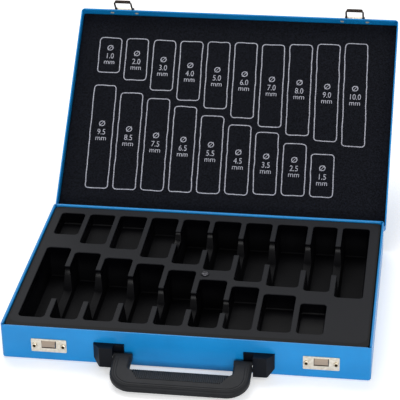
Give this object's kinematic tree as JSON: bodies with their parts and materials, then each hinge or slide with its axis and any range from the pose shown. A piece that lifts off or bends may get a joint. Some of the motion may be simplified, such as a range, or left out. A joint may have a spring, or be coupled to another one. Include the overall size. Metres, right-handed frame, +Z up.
{
  "type": "drill bit drawer case",
  "caption": "Flat folded sheet-steel drill case: hinged lid lined with printed foam, moulded tray of graded pockets, draw clasps and a folding carry handle.",
  "frame": {"origin": "middle of the flat underside of the base", "axes": "+X to the right along the front wall, +Y from the front with the handle to the hinged back, +Z up"},
  "size_m": [0.3636, 0.5004, 0.201],
  "materials": {
    "blue_paint": "glossy blue enamel",
    "tray_plastic": "black vacuum-formed sheet, satin",
    "lid_foam": "fine-celled black foam sheet",
    "bright_steel": "zinc plated",
    "dark_brass": "dull",
    "nickel": "dull nickel plate",
    "dark_steel": "dark plated",
    "handle_plastic": "moulded, fine grained",
    "bracket_plastic": "moulded"
  },
  "bodies": {
    "base": {"base_shell": "blue_paint", "tray_insert": "tray_plastic", "tray_screw": "bright_steel", "tray_post": "bright_steel", "hinge_base_rivets": "nickel", "catch_rivets": "dark_brass", "bracket_screws": "bright_steel", "hinge_base_leaf_left": "nickel", "hinge_pin_left": "bright_steel", "catch_plate_left": "nickel", "handle_bracket_left": "bracket_plastic", "handle_pin_left": "bright_steel", "hinge_base_leaf_right": "nickel", "hinge_pin_right": "bright_steel", "catch_plate_right": "nickel", "handle_bracket_right": "bracket_plastic", "handle_pin_right": "bright_steel"},
    "lid": {"lid_shell": "blue_paint", "lid_foam": "lid_foam", "hinge_lid_rivets": "nickel", "clasp_rivets": "nickel", "hinge_lid_leaf_left": "nickel", "clasp_plate_left": "nickel", "clasp_pin_left": "bright_steel", "hinge_lid_leaf_right": "nickel", "clasp_plate_right": "nickel", "clasp_pin_right": "bright_steel"},
    "handle": {"handle": "handle_plastic"},
    "clasp_loop_left": {"clasp_loop_left": "dark_steel"},
    "clasp_loop_right": {"clasp_loop_right": "dark_steel"}
  },
  "joints": [
    {"name": "lid_hinge", "type": "hinge", "parent": "base", "child": "lid", "pos_m": [0, 0.12678, 0.026], "axis": [1, 0, 0], "range_deg": [0, 139.6]},
    {"name": "handle_pivot", "type": "hinge", "parent": "base", "child": "handle", "pos_m": [0, -0.1292, 0.0135], "axis": [-1, 0, 0], "range_deg": [0, 90]},
    {"name": "clasp_pivot_left", "type": "hinge", "parent": "lid", "child": "clasp_loop_left", "pos_m": [-0.1325, 0.32393, 0.18591], "axis": [-1, 0, 0], "range_deg": [-8, 150]},
    {"name": "clasp_pivot_right", "type": "hinge", "parent": "lid", "child": "clasp_loop_right", "pos_m": [0.1325, 0.32393, 0.18591], "axis": [-1, 0, 0], "range_deg": [-8, 150]}
  ]
}
